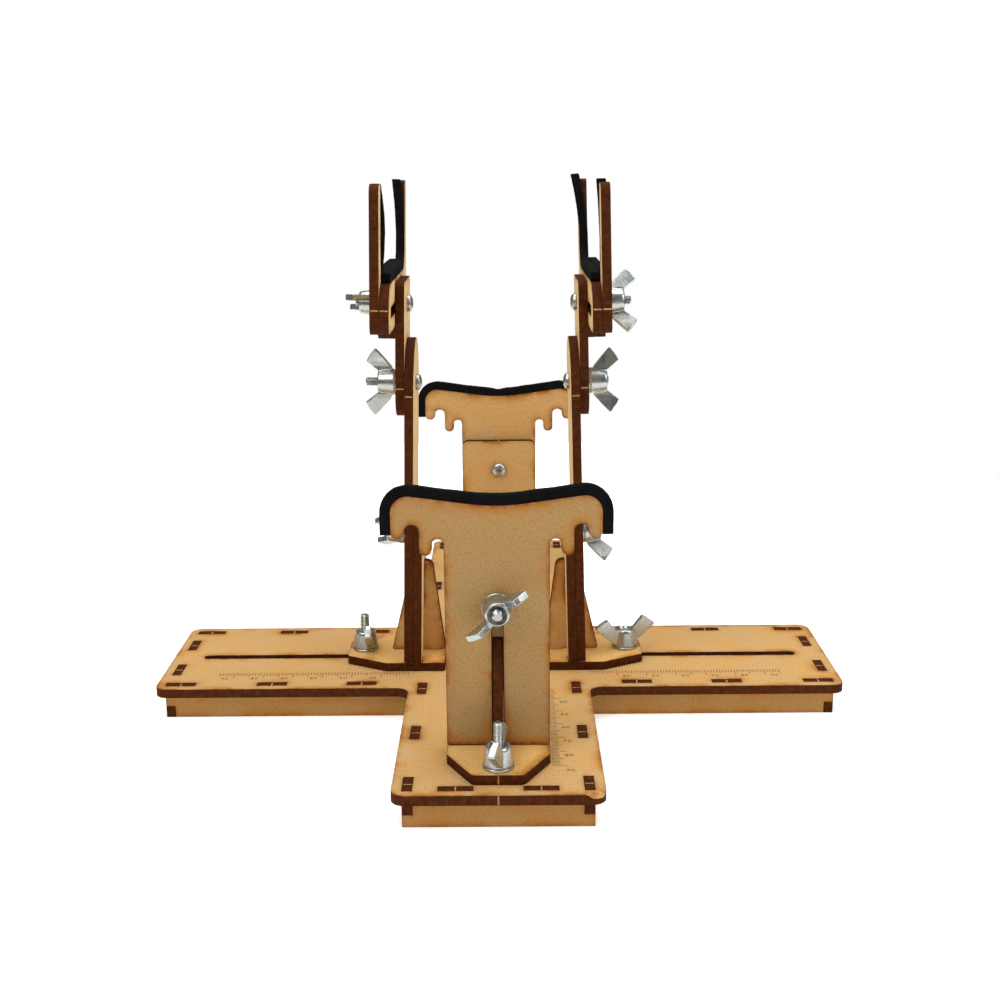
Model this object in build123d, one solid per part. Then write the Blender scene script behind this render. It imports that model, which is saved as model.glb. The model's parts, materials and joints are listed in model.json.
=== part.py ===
"""Adjustable cradle for building ship-model hulls: laser-cut board, M3 bolts and wing nuts.

Frame: origin at the middle of the base's footprint, on the table. +X right, +Y to the rear,
+Z up. Four brackets stand on a hollow plus-shaped base. The front and rear ones carry
saddles, the left and right ones carry lift arms, swing arms and pairs of sliding jaws.

Each bracket is drawn once in its own directions: u runs outward along its arm of the base
and is 0 at the outer face of its sliding board, v runs across, z is height above the table.
The boards above the foot are drawn upright; on the side brackets they then lean inward by the
slack in the upright's tabs.
"""
from build123d import *
from math import cos, radians, sin
import os

# Boards
BOARD = 2.9  # true thickness of the nominal 3 mm board
LAYER = 3.0  # pitch of boards stacked face to face
SKIN = (LAYER - BOARD) / 2  # half the air between two stacked boards

# Base
ARM_HALF = 30.0  # half the width of every arm of the plus
WING_LENGTH = 114.5  # left and right arms, from the middle of the cross
FRONT_LENGTH = 108.5
REAR_LENGTH = 147.5
CROSS_Y = (FRONT_LENGTH - REAR_LENGTH) / 2  # puts the origin in the middle of the footprint
RAIL_HEIGHT = 8.0
PLATE_THICK = 3.0
BASE_TOP = RAIL_HEIGHT + PLATE_THICK
OVERHANG = 3.0  # plate edge beyond the rails
RAIL_THICK = 3.0
CORNER_R = 4.0
FINGER_Z = 3.8  # height where the corner finger joint changes over
SLOT_HALF = 1.7  # clearance slot for an M3 bolt
SLOT_INNER = 12.0  # where each base slot begins, from the middle of the cross
END_TAB = (7.0, 17.0)

# Fasteners
BOLT_R = 1.5
HOLE_R = 1.55
HEAD_R = 2.75
HEAD_H = 2.0
WASHER_R = 4.5
WASHER_H = 0.8
FACE_GAP = 0.05  # air between a washer and the nut or board next to it
NUT_HUB_H = 6.0
WING_THICK = 1.3

# Bracket
HALF = 15.0  # half the width of foot, upright and sliding boards
FOOT_BOTTOM = BASE_TOP + 2 * SKIN
FOOT_TOP = FOOT_BOTTOM + BOARD
FOOT_INNER = -14.0
FOOT_NOSE = 20.0
FOOT_TAPER = 6.0  # where the foot starts to narrow
NOSE_HALF = 7.4
FOOT_BOLT_U = 14.4
UPRIGHT_U = -2 * LAYER  # inner side of the upright's layer
UPRIGHT_TOP = 68.5
LEG_INNER = 9.0  # the upright's two legs reach from here to its sides
CLAMP_Z = 56.5  # height of the bolt that clamps the sliding board
LAP_Z = 30.0  # where upright and gusset cross-lap
GUSSET_TOP = 46.5
GUSSET_OUTER = 5.0
GUSSET_TAB = (-12.0, -7.5)
LEAN_U = UPRIGHT_U + LAYER / 2  # a leaning upright turns about the middle of its layer

# Sliding boards
SLIDER_BOTTOM = FOOT_TOP + 0.3
SLIDER_SLOT_TOP = 59.8
SADDLE_HALF = 30.0
SADDLE_TIP = 90.2  # height where the sloping top would meet the saddle's side
SADDLE_DIP = 86.1
SADDLE_CORNER_R = 5.0
SADDLE_DIP_R = 60.0
FOAM = 3.0
SADDLE_FOAM_LOW = 78.0

# Side arms
PIVOT_Z = 108.3
HEAD_Z = 134.6
SWING_HALF = 14.0
SWING_LOW = 97.9
SWING_HIGH = 142.6
SWING_LOW_R = 9.5
SWING_TOP_R = 2.5
JAW_END = 38.0
PRONG_WIDTH = 7.0
JAW_LOW = 128.5
JAW_LUG_LOW = 123.6
JAW_TOP = 143.8
PRONG_TOP = 173.5
JAW_SLOT = (-30.0, 12.0)  # ends of the jaw's slot; the prong is on the positive side
CROTCH_R = 8.0
JAW_TAIL_R = 7.0

# Each bracket: turn about +Z, distance of its sliding board's outer face from the middle of
# the cross, degrees its boards lean inward, and where its bolts end, as heights or u.
BRACKETS = {
    "front": {"turn": -90, "reach": 82.2, "lean": 0, "foot_bolt_end": 27.6},
    "rear": {"turn": 90, "reach": 100.0, "lean": 0, "foot_bolt_end": 27.6},
    "left": {"turn": 180, "reach": 32.5, "lean": 1.5, "foot_bolt_end": 26.6,
             "swing_bolt_end": 13.7, "head_bolt_end": 16.9, "front_v": 1},
    "right": {"turn": 0, "reach": 29.6, "lean": 1.5, "foot_bolt_end": 20.4,
              "swing_bolt_end": 10.2, "head_bolt_end": 18.0, "front_v": -1},
}
CLAMP_BOLT_END = 8.6

# How each wing nut stands: degrees of its wings from the nut's own x
NUT_TURN = {
    "front_foot": -13, "rear_foot": 65, "left_foot": 90, "right_foot": 8,
    "front_saddle": 36, "rear_saddle": -24, "left_arm": 28, "right_arm": 52,
    "left_swing": 90, "right_swing": 90, "left_head": 4, "right_head": 52,
}

# Arms of the base: turn, length and where the side rails' tabs are
BASE_ARMS = {
    "front": {"turn": -90, "length": FRONT_LENGTH, "slot_end": 99.5,
              "tabs": ((25.5, 35.2), (61.0, 70.8), (96.5, FRONT_LENGTH - OVERHANG))},
    "rear": {"turn": 90, "length": REAR_LENGTH, "slot_end": 138.5,
             "tabs": ((25.5, 35.2), (75.5, 85.5), (134.5, REAR_LENGTH - OVERHANG))},
    "left": {"turn": 180, "length": WING_LENGTH, "slot_end": 104.0,
             "tabs": ((41.0, 51.0), (71.0, 81.0), (101.5, WING_LENGTH - OVERHANG))},
    "right": {"turn": 0, "length": WING_LENGTH, "slot_end": 104.0,
              "tabs": ((41.0, 51.0), (71.0, 81.0), (101.5, WING_LENGTH - OVERHANG))},
}


def save(name, shape):
    shape.label = name
    export_step(shape, f"parts/{name}.step")


def group(solids):
    """Several separate solids in one node."""
    return Compound(children=list(solids))


def block(x, y, z):
    """Box from ranges along the three directions."""
    size = (x[1] - x[0], y[1] - y[0], z[1] - z[0])
    middle = ((x[0] + x[1]) / 2, (y[0] + y[1]) / 2, (z[0] + z[1]) / 2)
    return Pos(*middle) * Box(*size)


def outline(*corners):
    """Flat face through corners given as (x, y, radius); a radius of 0 stays sharp."""
    face = make_face(Polyline(*[(x, y) for x, y, _ in corners], close=True))
    for x, y, radius in corners:
        if radius:
            nearest = min(face.vertices(), key=lambda v: (v.X - x) ** 2 + (v.Y - y) ** 2)
            face = fillet(nearest, radius)
    return face


def mirrored(corners):
    """Corners of the +x half, then the same ones on the -x side in reverse order."""
    return [*corners, *[(-x, y, r) for x, y, r in reversed(corners)]]


def slot_face(x, y, half_width):
    """Round-ended slot along x between its two ends, centred on y."""
    middle = (x[0] + x[1]) / 2
    return Pos(middle, y) * SlotOverall(x[1] - x[0], 2 * half_width)


def across(u, face):
    """Board whose face looks outward; its drawing is in (v, z) and its layer starts at u."""
    plane = Plane(origin=(u + SKIN, 0, 0), x_dir=(0, 1, 0), z_dir=(1, 0, 0))
    return extrude(plane * face, BOARD, dir=plane.z_dir)


def placed(side, shape):
    """Move a shape from a bracket's own directions to its place on the base."""
    bracket = BRACKETS[side]
    return Pos(0, CROSS_Y, 0) * Rot(0, 0, bracket["turn"]) * Pos(bracket["reach"], 0, 0) * shape


def leaning(side, shape):
    """Turn a shape that was drawn upright into its bracket's lean."""
    turn = Rot(0, -BRACKETS[side]["lean"], 0)
    return Pos(LEAN_U, 0, FOOT_TOP) * turn * Pos(-LEAN_U, 0, -FOOT_TOP) * shape


def raised(side, shape):
    """Place a board or fastener above the foot, with its bracket's lean."""
    return placed(side, leaning(side, shape))


def before_lean(side, u, z):
    """Where to draw a point so that it lies at (u, z) once its board leans."""
    angle = radians(BRACKETS[side]["lean"])
    du = u - LEAN_U
    dz = z - FOOT_TOP
    return (LEAN_U + du * cos(angle) + dz * sin(angle), FOOT_TOP - du * sin(angle) + dz * cos(angle))


# ---------------------------------------------------------------- base
def base_outline():
    corners = [
        (ARM_HALF, -FRONT_LENGTH), (ARM_HALF, -ARM_HALF), (WING_LENGTH, -ARM_HALF),
        (WING_LENGTH, ARM_HALF), (ARM_HALF, ARM_HALF), (ARM_HALF, REAR_LENGTH),
        (-ARM_HALF, REAR_LENGTH), (-ARM_HALF, ARM_HALF), (-WING_LENGTH, ARM_HALF),
        (-WING_LENGTH, -ARM_HALF), (-ARM_HALF, -ARM_HALF), (-ARM_HALF, -FRONT_LENGTH),
    ]
    return outline(*[(x, y, CORNER_R) for x, y in corners])


def side_rails(arm, start):
    """The two long walls under one arm, with tabs above and half of a finger joint."""
    outer = arm["length"] - OVERHANG
    rails = []
    for sign in (-1, 1):
        y = sorted((sign * (ARM_HALF - OVERHANG), sign * (ARM_HALF - OVERHANG - RAIL_THICK)))
        rail = block((start, outer - RAIL_THICK), y, (0, FINGER_Z))
        rail += block((start, outer), y, (FINGER_Z, RAIL_HEIGHT))
        for tab in arm["tabs"]:
            rail += block(tab, y, (RAIL_HEIGHT, BASE_TOP))
        rails.append(Rot(0, 0, arm["turn"]) * rail)
    return rails


def end_rail(arm):
    """The wall across the end of one arm."""
    half = ARM_HALF - OVERHANG
    x = (arm["length"] - OVERHANG - RAIL_THICK, arm["length"] - OVERHANG)
    rail = block(x, (-half, half), (0, FINGER_Z))
    rail += block(x, (RAIL_THICK - half, half - RAIL_THICK), (FINGER_Z, RAIL_HEIGHT))
    for sign in (-1, 1):
        y = sorted((sign * END_TAB[0], sign * END_TAB[1]))
        rail += block(x, y, (RAIL_HEIGHT, BASE_TOP))
    return Rot(0, 0, arm["turn"]) * rail


def build_base():
    rail_start = ARM_HALF - OVERHANG
    arm_rails = []
    wing_rails = []
    for name in ("front", "rear"):
        arm_rails += side_rails(BASE_ARMS[name], rail_start - RAIL_THICK)
    for name in ("left", "right"):
        wing_rails += side_rails(BASE_ARMS[name], rail_start)
    ends = [end_rail(arm) for arm in BASE_ARMS.values()]
    plate = Pos(0, 0, RAIL_HEIGHT) * extrude(base_outline(), PLATE_THICK)
    for arm in BASE_ARMS.values():
        cut = slot_face((SLOT_INNER, arm["slot_end"]), 0, SLOT_HALF)
        cut = Pos(0, 0, RAIL_HEIGHT) * extrude(cut, PLATE_THICK)
        plate -= Rot(0, 0, arm["turn"]) * cut
    for rail in arm_rails + wing_rails + ends:
        plate -= rail
    move = Pos(0, CROSS_Y, 0)
    save("base_top_plate", move * plate)
    save("arm_side_rails", group(move * rail for rail in arm_rails))
    save("wing_side_rails", group(move * rail for rail in wing_rails))
    save("end_rails", group(move * rail for rail in ends))


# ---------------------------------------------------------------- fasteners
def pan_bolt(length):
    """Bolt along +z with its pan head below z = 0 and a cross recess in the head."""
    head = Pos(0, 0, -HEAD_H / 2) * Cylinder(HEAD_R, HEAD_H)
    head = fillet(head.edges().sort_by(Axis.Z)[0], 0.9)
    recess = Pos(0, 0, -HEAD_H) * (Box(2.6, 0.55, 2.0) + Box(0.55, 2.6, 2.0))
    shank = Pos(0, 0, length / 2) * Cylinder(BOLT_R, length)
    shank = chamfer(shank.edges().sort_by(Axis.Z)[-1], 0.3)
    return head - recess + shank


def washer():
    return Pos(0, 0, WASHER_H / 2) * (Cylinder(WASHER_R, WASHER_H) - Cylinder(1.6, WASHER_H))


def wing_nut():
    """M3 wing nut along +z from z = 0, with its wings along x."""
    profile = outline((BOLT_R, 0, 0), (3.9, 0, 0.3), (3.9, 1.2, 0), (3.3, NUT_HUB_H, 0.4),
                      (BOLT_R, NUT_HUB_H, 0))
    hub = revolve(Plane.XZ * profile, Axis.Z)
    wing = outline((1.9, 0.7, 0), (4.4, 0.6, 0.6), (10.9, 6.8, 1.2), (6.7, 9.7, 1.2), (3.0, 4.6, 0.8),
                   (1.9, 4.6, 0))
    blade = extrude(Plane.XZ * wing, WING_THICK / 2, both=True)
    return hub + blade + Rot(0, 0, 180) * blade - Pos(0, 0, NUT_HUB_H / 2) * Cylinder(HOLE_R, 2 * NUT_HUB_H)


def outward(u, z, shape):
    """Turn a fastener drawn along +z so it points outward from (u, z)."""
    return Pos(u, 0, z) * Rot(0, 90, 0) * Rot(0, 0, 90) * shape


def clamp_set(side, name, head_u, seat_u, end_u, z):
    """A bolt pointing outward with its washer at seat_u, and its wing nut."""
    bolt = raised(side, outward(head_u, z, pan_bolt(end_u - head_u)))
    ring = raised(side, outward(seat_u + FACE_GAP, z, washer()))
    save(f"{side}_{name}_bolt", group([bolt, ring]))
    nut = Rot(0, 0, NUT_TURN[f"{side}_{name}"]) * wing_nut()
    nut_u = seat_u + 2 * FACE_GAP + WASHER_H
    save(f"{side}_{name}_wing_nut", raised(side, outward(nut_u, z, nut)))


def foot_set(side):
    """The upright bolt through the base slot: two washers and a wing nut on the foot."""
    seat = RAIL_HEIGHT - FACE_GAP - WASHER_H
    end = BRACKETS[side]["foot_bolt_end"]
    bolt = Pos(FOOT_BOLT_U, 0, seat) * pan_bolt(end - seat)
    under = Pos(FOOT_BOLT_U, 0, seat) * washer()
    over = Pos(FOOT_BOLT_U, 0, FOOT_TOP + FACE_GAP) * washer()
    save(f"{side}_foot_bolt", group(placed(side, shape) for shape in (bolt, under, over)))
    nut = Rot(0, 0, NUT_TURN[f"{side}_foot"]) * wing_nut()
    nut = Pos(FOOT_BOLT_U, 0, FOOT_TOP + 2 * FACE_GAP + WASHER_H) * nut
    save(f"{side}_foot_wing_nut", placed(side, nut))


# ---------------------------------------------------------------- bracket
def foot_plate(side):
    face = outline((FOOT_INNER, HALF, 1), (FOOT_TAPER, HALF, 2), (FOOT_NOSE, NOSE_HALF, 2),
                   (FOOT_NOSE, -NOSE_HALF, 2), (FOOT_TAPER, -HALF, 2), (FOOT_INNER, -HALF, 1))
    foot = Pos(0, 0, FOOT_BOTTOM) * extrude(face, BOARD)
    foot -= Pos(FOOT_BOLT_U, 0, FOOT_TOP) * Cylinder(HOLE_R, 4 * BOARD)
    height = (FOOT_BOTTOM, FOOT_TOP)
    foot -= block(GUSSET_TAB, (-LAYER / 2, LAYER / 2), height)
    for sign in (-1, 1):
        notch = sorted((sign * LEG_INNER, sign * (HALF + 1)))
        through = (FOOT_BOTTOM - 1, FOOT_TOP + 1)
        foot -= leaning(side, block((UPRIGHT_U, UPRIGHT_U + LAYER), notch, through))
    return foot


def upright():
    """Fixed board: two legs through the foot, a cross-lap slot, and the clamp bolt's hole."""
    shoulder = FOOT_TOP + SKIN
    face = outline(*mirrored([(LEG_INNER, shoulder, 0), (LEG_INNER, FOOT_BOTTOM, 0),
                              (HALF, FOOT_BOTTOM, 0), (HALF, UPRIGHT_TOP, 2.5)]))
    face -= Pos(0, (FOOT_BOTTOM + LAP_Z) / 2) * Rectangle(LAYER, LAP_Z - FOOT_BOTTOM)
    face -= Pos(0, CLAMP_Z) * Circle(HOLE_R)
    return across(UPRIGHT_U, face)


def gusset(side):
    """Triangular board across the upright; its outer part runs in the slider's slot."""
    tab_low, tab_high = GUSSET_TAB
    on_foot = [(FOOT_INNER + 0.2, FOOT_TOP, 0), (tab_low, FOOT_TOP, 0), (tab_low, FOOT_BOTTOM, 0),
               (tab_high, FOOT_BOTTOM, 0), (tab_high, FOOT_TOP, 0), (GUSSET_OUTER, FOOT_TOP, 0.8)]
    corners = [(*before_lean(side, u, z), radius) for u, z, radius in on_foot]
    face = outline(*corners, (-1.9, GUSSET_TOP, 0.8), (-8.9, GUSSET_TOP, 2.5))
    face -= Pos(UPRIGHT_U + LAYER / 2, (LAP_Z + GUSSET_TOP) / 2) * Rectangle(LAYER, GUSSET_TOP - LAP_Z)
    plane = Plane(origin=(0, 0, 0), x_dir=(1, 0, 0), z_dir=(0, -1, 0))
    return extrude(plane * face, BOARD / 2, both=True)


def slider_slot():
    """Slot open at the lower end of a sliding board."""
    return Rot(0, 0, 90) * slot_face((SLIDER_BOTTOM - 10, SLIDER_SLOT_TOP), 0, SLOT_HALF)


def build_bracket(side):
    save(f"{side}_foot_plate", placed(side, foot_plate(side)))
    save(f"{side}_upright", raised(side, upright()))
    save(f"{side}_gusset", raised(side, gusset(side)))
    foot_set(side)


# ---------------------------------------------------------------- saddles
def saddle_crown(low):
    """Outline of the padded top of a saddle, down to a height."""
    half = mirrored([(SADDLE_HALF, low, 0), (SADDLE_HALF, SADDLE_TIP, SADDLE_CORNER_R)])
    corners = [half[0], half[1], (0, SADDLE_DIP, SADDLE_DIP_R), half[2], half[3]]
    return outline(*corners)


def saddle_plate():
    """Neck, sloping top, and two rubber-band hooks on each side."""
    side = [(HALF, SLIDER_BOTTOM, 0.5), (HALF, 76.8, 1.6), (18.4, 76.8, 1.6), (18.4, 72.0, 1.7),
            (22.0, 72.0, 1.7), (22.0, 81.1, 1.9), (26.0, 81.1, 1.9), (26.0, 77.0, 1.9),
            (SADDLE_HALF, 77.0, 1.9), (SADDLE_HALF, SADDLE_TIP, SADDLE_CORNER_R)]
    corners = mirrored(side)
    corners.insert(len(side), (0, SADDLE_DIP, SADDLE_DIP_R))
    return across(-LAYER, outline(*corners) - slider_slot())


def saddle_foam():
    """Foam strip glued round the saddle's top and sides."""
    crown = saddle_crown(SADDLE_FOAM_LOW)
    strip = offset(crown, FOAM) - crown
    keep = Pos(0, SADDLE_FOAM_LOW + 20) * Rectangle(4 * SADDLE_HALF, 40)
    return across(-LAYER, strip & keep)


def build_saddle(side):
    save(f"{side}_saddle_plate", raised(side, saddle_plate()))
    save(f"{side}_saddle_foam", raised(side, saddle_foam()))
    clamp_set(side, "saddle", UPRIGHT_U, 0, CLAMP_BOLT_END, CLAMP_Z)


# ---------------------------------------------------------------- side arms
def lift_arm():
    """Tall sliding board with a half-round top about the swing pivot."""
    height = PIVOT_Z - SLIDER_BOTTOM
    face = Pos(0, SLIDER_BOTTOM + height / 2) * Rectangle(2 * HALF, height)
    face += Pos(0, PIVOT_Z) * Circle(HALF)
    face -= slider_slot()
    face -= Pos(0, PIVOT_Z) * Circle(HOLE_R)
    return across(-LAYER, face)


def swing_arm():
    """Short link between the lift arm's pivot and the head bolt."""
    face = outline(*mirrored([(SWING_HALF, SWING_LOW, SWING_LOW_R), (SWING_HALF, SWING_HIGH, SWING_TOP_R)]))
    face -= Pos(0, PIVOT_Z) * Circle(HOLE_R)
    face -= Pos(0, HEAD_Z) * Circle(HOLE_R)
    return across(0, face)


def jaw_outline():
    """L-shaped jaw with its prong on the positive side and a lug under the bolt."""
    prong = JAW_END - PRONG_WIDTH
    return outline((-JAW_END, JAW_LOW, 3), (-13, JAW_LOW, 4), (-7.5, JAW_LUG_LOW, 3),
                   (7.5, JAW_LUG_LOW, 3), (13, JAW_LOW, 4), (JAW_END, JAW_LOW, 3),
                   (JAW_END, PRONG_TOP, 3), (prong, PRONG_TOP, 1.2), (prong, JAW_TOP, CROTCH_R),
                   (-JAW_END, JAW_TOP, JAW_TAIL_R))


def jaw_slot():
    return slot_face(JAW_SLOT, HEAD_Z, SLOT_HALF)


def jaw_foam():
    """Foam strip along the jaw's top and up the inside of its prong."""
    face = outline((-JAW_END - 9, JAW_LOW, 0), (JAW_END, JAW_LOW, 0), (JAW_END, PRONG_TOP + 9, 0),
                   (JAW_END - PRONG_WIDTH, PRONG_TOP + 9, 0),
                   (JAW_END - PRONG_WIDTH, JAW_TOP, CROTCH_R), (-JAW_END - 9, JAW_TOP, 0))
    strip = offset(face, FOAM) - face
    keep_y = (JAW_TAIL_R - JAW_END, JAW_END - PRONG_WIDTH)
    keep_z = (JAW_TOP, PRONG_TOP)
    keep = Pos(sum(keep_y) / 2, sum(keep_z) / 2) * Rectangle(keep_y[1] - keep_y[0], keep_z[1] - keep_z[0])
    return strip & keep


def build_side(side):
    bracket = BRACKETS[side]
    front_v = bracket["front_v"]
    save(f"{side}_lift_arm", raised(side, lift_arm()))
    save(f"{side}_swing_arm", raised(side, swing_arm()))
    jaws = {"inner": (LAYER, -front_v), "outer": (2 * LAYER, front_v)}
    for name, (layer, prong_v) in jaws.items():
        turn = Rot(0, 0, 0) if prong_v > 0 else Rot(0, 180, 0)
        jaw = across(layer, turn * (jaw_outline() - jaw_slot()))
        foam = across(layer, turn * jaw_foam())
        save(f"{side}_{name}_jaw", raised(side, jaw))
        save(f"{side}_{name}_jaw_foam", raised(side, foam))
    clamp_set(side, "arm", UPRIGHT_U, 0, CLAMP_BOLT_END, CLAMP_Z)
    clamp_set(side, "swing", -LAYER, LAYER, bracket["swing_bolt_end"], PIVOT_Z)
    clamp_set(side, "head", 0, 3 * LAYER, bracket["head_bolt_end"], HEAD_Z)


os.makedirs("parts", exist_ok=True)
build_base()
for side in BRACKETS:
    build_bracket(side)
for side in ("front", "rear"):
    build_saddle(side)
for side in ("left", "right"):
    build_side(side)
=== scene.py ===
"""Looks of an adjustable cradle for ship-model hulls: laser-cut board, foam edging, zinc fasteners.

Every length is in metres; MM turns millimetres into metres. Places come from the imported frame.
"""

import json
import math

import bmesh
import bpy
from mathutils import Matrix, Vector, noise


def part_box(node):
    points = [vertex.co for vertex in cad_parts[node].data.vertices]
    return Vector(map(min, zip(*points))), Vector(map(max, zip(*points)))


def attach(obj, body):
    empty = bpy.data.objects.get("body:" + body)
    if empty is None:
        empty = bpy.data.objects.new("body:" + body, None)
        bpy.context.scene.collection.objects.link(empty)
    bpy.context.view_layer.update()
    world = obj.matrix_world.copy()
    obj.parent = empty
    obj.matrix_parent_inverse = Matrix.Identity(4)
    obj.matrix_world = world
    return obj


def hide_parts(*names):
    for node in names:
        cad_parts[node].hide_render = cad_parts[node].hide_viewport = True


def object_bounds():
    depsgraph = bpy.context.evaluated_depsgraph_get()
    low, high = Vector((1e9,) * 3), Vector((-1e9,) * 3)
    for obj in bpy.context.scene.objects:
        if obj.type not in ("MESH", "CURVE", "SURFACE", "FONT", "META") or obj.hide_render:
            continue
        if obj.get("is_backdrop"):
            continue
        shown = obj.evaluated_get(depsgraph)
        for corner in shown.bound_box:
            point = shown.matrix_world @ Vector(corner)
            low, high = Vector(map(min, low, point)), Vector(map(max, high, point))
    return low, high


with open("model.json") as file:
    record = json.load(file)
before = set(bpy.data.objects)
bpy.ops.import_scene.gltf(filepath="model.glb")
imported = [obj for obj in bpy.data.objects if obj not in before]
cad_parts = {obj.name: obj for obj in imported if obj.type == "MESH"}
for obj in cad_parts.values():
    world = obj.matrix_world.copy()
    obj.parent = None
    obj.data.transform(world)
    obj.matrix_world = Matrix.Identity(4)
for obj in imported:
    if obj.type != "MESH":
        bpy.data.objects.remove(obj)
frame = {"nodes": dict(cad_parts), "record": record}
cad_low, cad_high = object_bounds()

MM = 0.001
BODY_OF = {node: body for body, nodes in frame["record"]["behaviour"]["bodies"].items() for node in nodes}
JOINTS = {joint["name"]: joint for joint in frame["record"]["behaviour"]["joints"]}
OUTWARD = {
    "front": Vector((0, -1, 0)),
    "rear": Vector((0, 1, 0)),
    "left": Vector((-1, 0, 0)),
    "right": Vector((1, 0, 0)),
}
SIDES = tuple(OUTWARD)
UP = Vector((0, 0, 1))


# ---------------------------------------------------------------- shader helpers
def srgb(red, green, blue):
    """Linear colour from 0-255 screen values."""
    def linear(value):
        value /= 255
        return value / 12.92 if value <= 0.04045 else ((value + 0.055) / 1.055) ** 2.4
    return (linear(red), linear(green), linear(blue), 1.0)


class Nodes:
    """Short calls for building one material's node tree."""

    def __init__(self, name):
        self.material = bpy.data.materials.new(name)
        self.material.use_nodes = True
        self.tree = self.material.node_tree
        self.shader = self.tree.nodes["Principled BSDF"]

    def add(self, kind, **settings):
        node = self.tree.nodes.new(kind)
        for key, value in settings.items():
            setattr(node, key, value)
        return node

    def link(self, source, target):
        self.tree.links.new(source, target)

    def put(self, socket, value):
        """A link if value is a socket, otherwise a constant."""
        if isinstance(value, bpy.types.NodeSocket):
            self.link(value, socket)
        else:
            socket.default_value = value

    def coordinates(self, kind, scale):
        source = self.add("ShaderNodeTexCoord").outputs[kind]
        mapping = self.add("ShaderNodeMapping")
        mapping.inputs["Scale"].default_value = scale
        self.link(source, mapping.inputs["Vector"])
        return mapping.outputs["Vector"]

    def noise(self, vector, scale, detail=2.0, roughness=0.5):
        node = self.add("ShaderNodeTexNoise")
        node.inputs["Scale"].default_value = scale
        node.inputs["Detail"].default_value = detail
        node.inputs["Roughness"].default_value = roughness
        self.link(vector, node.inputs["Vector"])
        return node.outputs["Fac"]

    def math(self, operation, a, b=0.0):
        node = self.add("ShaderNodeMath", operation=operation)
        self.put(node.inputs[0], a)
        self.put(node.inputs[1], b)
        return node.outputs[0]

    def remap(self, value, low, high, to_low=0.0, to_high=1.0):
        node = self.add("ShaderNodeMapRange")
        self.put(node.inputs["Value"], value)
        node.inputs["From Min"].default_value = low
        node.inputs["From Max"].default_value = high
        node.inputs["To Min"].default_value = to_low
        node.inputs["To Max"].default_value = to_high
        return node.outputs["Result"]

    def mix(self, factor, a, b, blend="MIX"):
        node = self.add("ShaderNodeMix", data_type="RGBA", blend_type=blend)
        self.put(node.inputs["Factor"], factor)
        self.put(node.inputs[6], a)
        self.put(node.inputs[7], b)
        return node.outputs[2]

    def bump(self, height, distance, strength=1.0):
        node = self.add("ShaderNodeBump")
        node.inputs["Strength"].default_value = strength
        node.inputs["Distance"].default_value = distance
        self.link(height, node.inputs["Height"])
        self.link(node.outputs["Normal"], self.shader.inputs["Normal"])

    def near_edge(self, radius, full):
        """1 beside a sharp edge of the piece, falling to 0 a radius away from it.

        full is the cosine between the true and the rounded normal at which it reaches 1.
        """
        rounded = self.add("ShaderNodeBevel", samples=8)
        rounded.inputs["Radius"].default_value = radius
        dot = self.add("ShaderNodeVectorMath", operation="DOT_PRODUCT")
        self.link(rounded.outputs["Normal"], dot.inputs[0])
        self.link(self.add("ShaderNodeNewGeometry").outputs["True Normal"], dot.inputs[1])
        return self.remap(dot.outputs["Value"], 1.0, full)


# ---------------------------------------------------------------- materials
def board_face(name, plain, warm, smoke):
    """Sheet face of the fibre board: fine streaks, flecks, blotches, smoke stains beside cuts."""
    n = Nodes(name)
    streaks = n.noise(n.coordinates("UV", (1.0, 0.4, 1.0)), 2.1, 3.0, 0.62)
    fibres = n.noise(n.coordinates("UV", (1.0, 0.28, 1.0)), 5.5, 2.0, 0.6)
    blotches = n.noise(n.coordinates("UV", (1.0, 1.0, 1.0)), 0.075, 3.0)
    puffs = n.noise(n.coordinates("UV", (1.0, 1.0, 1.0)), 0.32, 3.0, 0.6)
    specks = n.noise(n.coordinates("UV", (1.0, 0.6, 1.0)), 2.6, 1.0)
    colour = n.mix(n.remap(blotches, 0.35, 0.68), plain, warm)
    dark = n.remap(streaks, 0.5, 0.3, 0.0, 0.4)
    colour = n.mix(dark, colour, srgb(92, 56, 24))
    pale = n.remap(fibres, 0.52, 0.74, 0.0, 0.45)
    colour = n.mix(pale, colour, srgb(196, 160, 108))
    fleck = n.remap(specks, 0.68, 0.8, 0.0, 0.35)
    colour = n.mix(fleck, colour, srgb(84, 48, 20))
    drift = n.math("MULTIPLY", n.near_edge(6 * MM, 0.95), n.remap(blotches, 0.44, 0.6, 0.05, 0.75))
    colour = n.mix(n.math("MULTIPLY", drift, smoke), colour, srgb(158, 96, 20))
    halo = n.math("MULTIPLY", n.near_edge(2.6 * MM, 0.9), n.remap(puffs, 0.36, 0.58, 0.25, 1.0))
    halo = n.math("MULTIPLY", halo, n.remap(blotches, 0.36, 0.6, 0.3, 1.0))
    colour = n.mix(n.math("MULTIPLY", halo, smoke), colour, srgb(112, 58, 4))
    n.link(colour, n.shader.inputs["Base Color"])
    n.link(n.remap(streaks, 0.3, 0.7, 0.58, 0.74), n.shader.inputs["Roughness"])
    n.shader.inputs["Specular IOR Level"].default_value = 0.2
    n.bump(n.math("ADD", streaks, fibres), 0.03 * MM, 0.7)
    return n.material


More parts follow.
